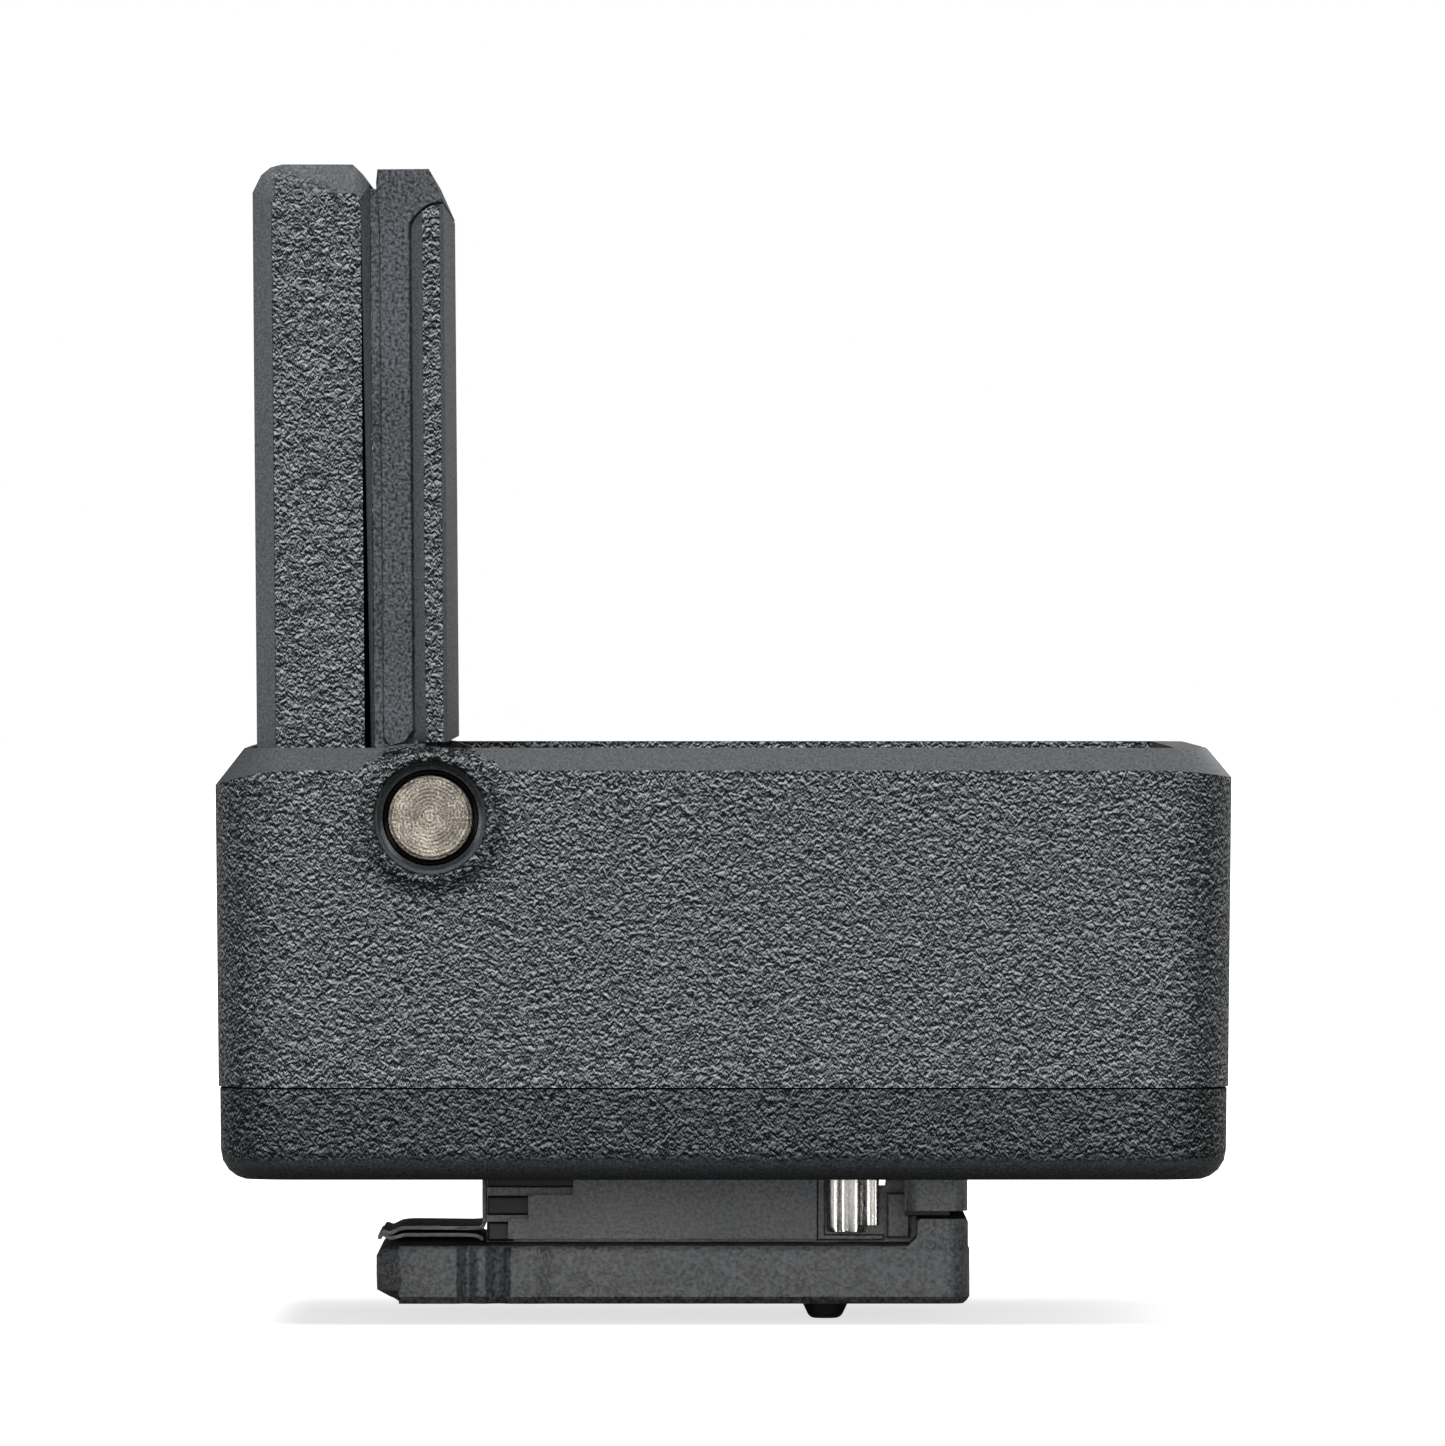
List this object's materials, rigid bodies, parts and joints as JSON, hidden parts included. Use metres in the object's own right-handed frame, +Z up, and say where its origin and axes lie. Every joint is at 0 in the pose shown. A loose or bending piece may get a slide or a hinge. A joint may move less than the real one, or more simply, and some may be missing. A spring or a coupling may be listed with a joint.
{
  "type": "flip-up shoe flash",
  "caption": "Small clip-on camera flash with a flip-up head, a standard accessory-shoe foot and sprung contact pins.",
  "frame": {"origin": "centre of the underside of the shoe foot", "axes": "+Z up out of the camera, -X forwards where the foot slides in and the raised head fires, Y across the camera"},
  "size_m": [0.0346, 0.0406, 0.0398],
  "materials": {
    "textured_plastic": "leather-grained",
    "satin_plastic": "satin",
    "foot_plastic": "fine sand texture",
    "black_steel": "black oxide",
    "spring_chrome": "bright",
    "spring_steel": "plain",
    "carrier_plastic": "plain",
    "gold_contact": "gold plated",
    "dark_contact": "dark nickel plated",
    "circuit_board": "solder mask",
    "capacitor_can": "shrink sleeve",
    "ferrite": "sintered",
    "chip_plastic": "moulded",
    "bush_plastic": "plain",
    "pin_nickel": "turned, nickel plated",
    "window_plastic": "ribbed",
    "polished_aluminium": "mirror",
    "tube_glass": "clear",
    "silicone": "soft",
    "bobbin_plastic": "enamelled wire on a bobbin",
    "wire_jacket": "insulated"
  },
  "bodies": {
    "base": {"base_housing": "textured_plastic", "bottom_cover": "textured_plastic", "bottom_cover_screws": "black_steel", "foot_plate": "foot_plastic", "foot_neck": "foot_plastic", "foot_sheet": "black_steel", "foot_screws": "black_steel", "ground_springs": "spring_chrome", "contact_springs": "spring_steel", "contact_carrier": "carrier_plastic", "contact_terminals": "gold_contact", "main_board": "circuit_board", "board_screws": "black_steel", "main_capacitor": "capacitor_can", "charging_transformer": "ferrite", "igbt_switch": "chip_plastic", "board_chips": "chip_plastic", "open_switch": "chip_plastic", "detent_spring": "spring_steel", "hinge_bushes": "bush_plastic"},
    "head": {"head_front_shell": "textured_plastic", "flash_window": "window_plastic", "reflector": "polished_aluminium", "flash_tube": "tube_glass", "tube_electrodes": "spring_steel", "tube_boots": "silicone", "head_board": "circuit_board", "trigger_coil": "bobbin_plastic", "head_wires": "wire_jacket", "head_inner_frame": "satin_plastic", "head_screws": "black_steel", "head_rear_cover": "textured_plastic", "hinge_pins": "pin_nickel", "pin_clips": "spring_steel"},
    "contact_pin_1": {"contact_pin_1": "dark_contact"},
    "contact_pin_2": {"contact_pin_2": "dark_contact"},
    "contact_pin_3": {"contact_pin_3": "dark_contact"},
    "contact_pin_4": {"contact_pin_4": "dark_contact"},
    "contact_pin_5": {"contact_pin_5": "dark_contact"}
  },
  "joints": [
    {"name": "head_fold", "type": "hinge", "parent": "base", "child": "head", "pos_m": [-0.00822, 0, 0.01684], "axis": [0, 1, 0], "range_deg": [0, 90.4]},
    {"name": "contact_pin_1_press", "type": "slide", "parent": "base", "child": "contact_pin_1", "axis": [0, 0, 1], "range_m": [0, 0.0006], "stiffness_N_per_m": 350, "springref_m": -0.0008, "deforming": ["contact_springs"]},
    {"name": "contact_pin_2_press", "type": "slide", "parent": "base", "child": "contact_pin_2", "axis": [0, 0, 1], "range_m": [0, 0.0006], "stiffness_N_per_m": 350, "springref_m": -0.0008, "deforming": ["contact_springs"]},
    {"name": "contact_pin_3_press", "type": "slide", "parent": "base", "child": "contact_pin_3", "axis": [0, 0, 1], "range_m": [0, 0.0006], "stiffness_N_per_m": 350, "springref_m": -0.0008, "deforming": ["contact_springs"]},
    {"name": "contact_pin_4_press", "type": "slide", "parent": "base", "child": "contact_pin_4", "axis": [0, 0, 1], "range_m": [0, 0.0006], "stiffness_N_per_m": 350, "springref_m": -0.0008, "deforming": ["contact_springs"]},
    {"name": "contact_pin_5_press", "type": "slide", "parent": "base", "child": "contact_pin_5", "axis": [0, 0, 1], "range_m": [0, 0.0006], "stiffness_N_per_m": 350, "springref_m": -0.0008, "deforming": ["contact_springs"]}
  ]
}
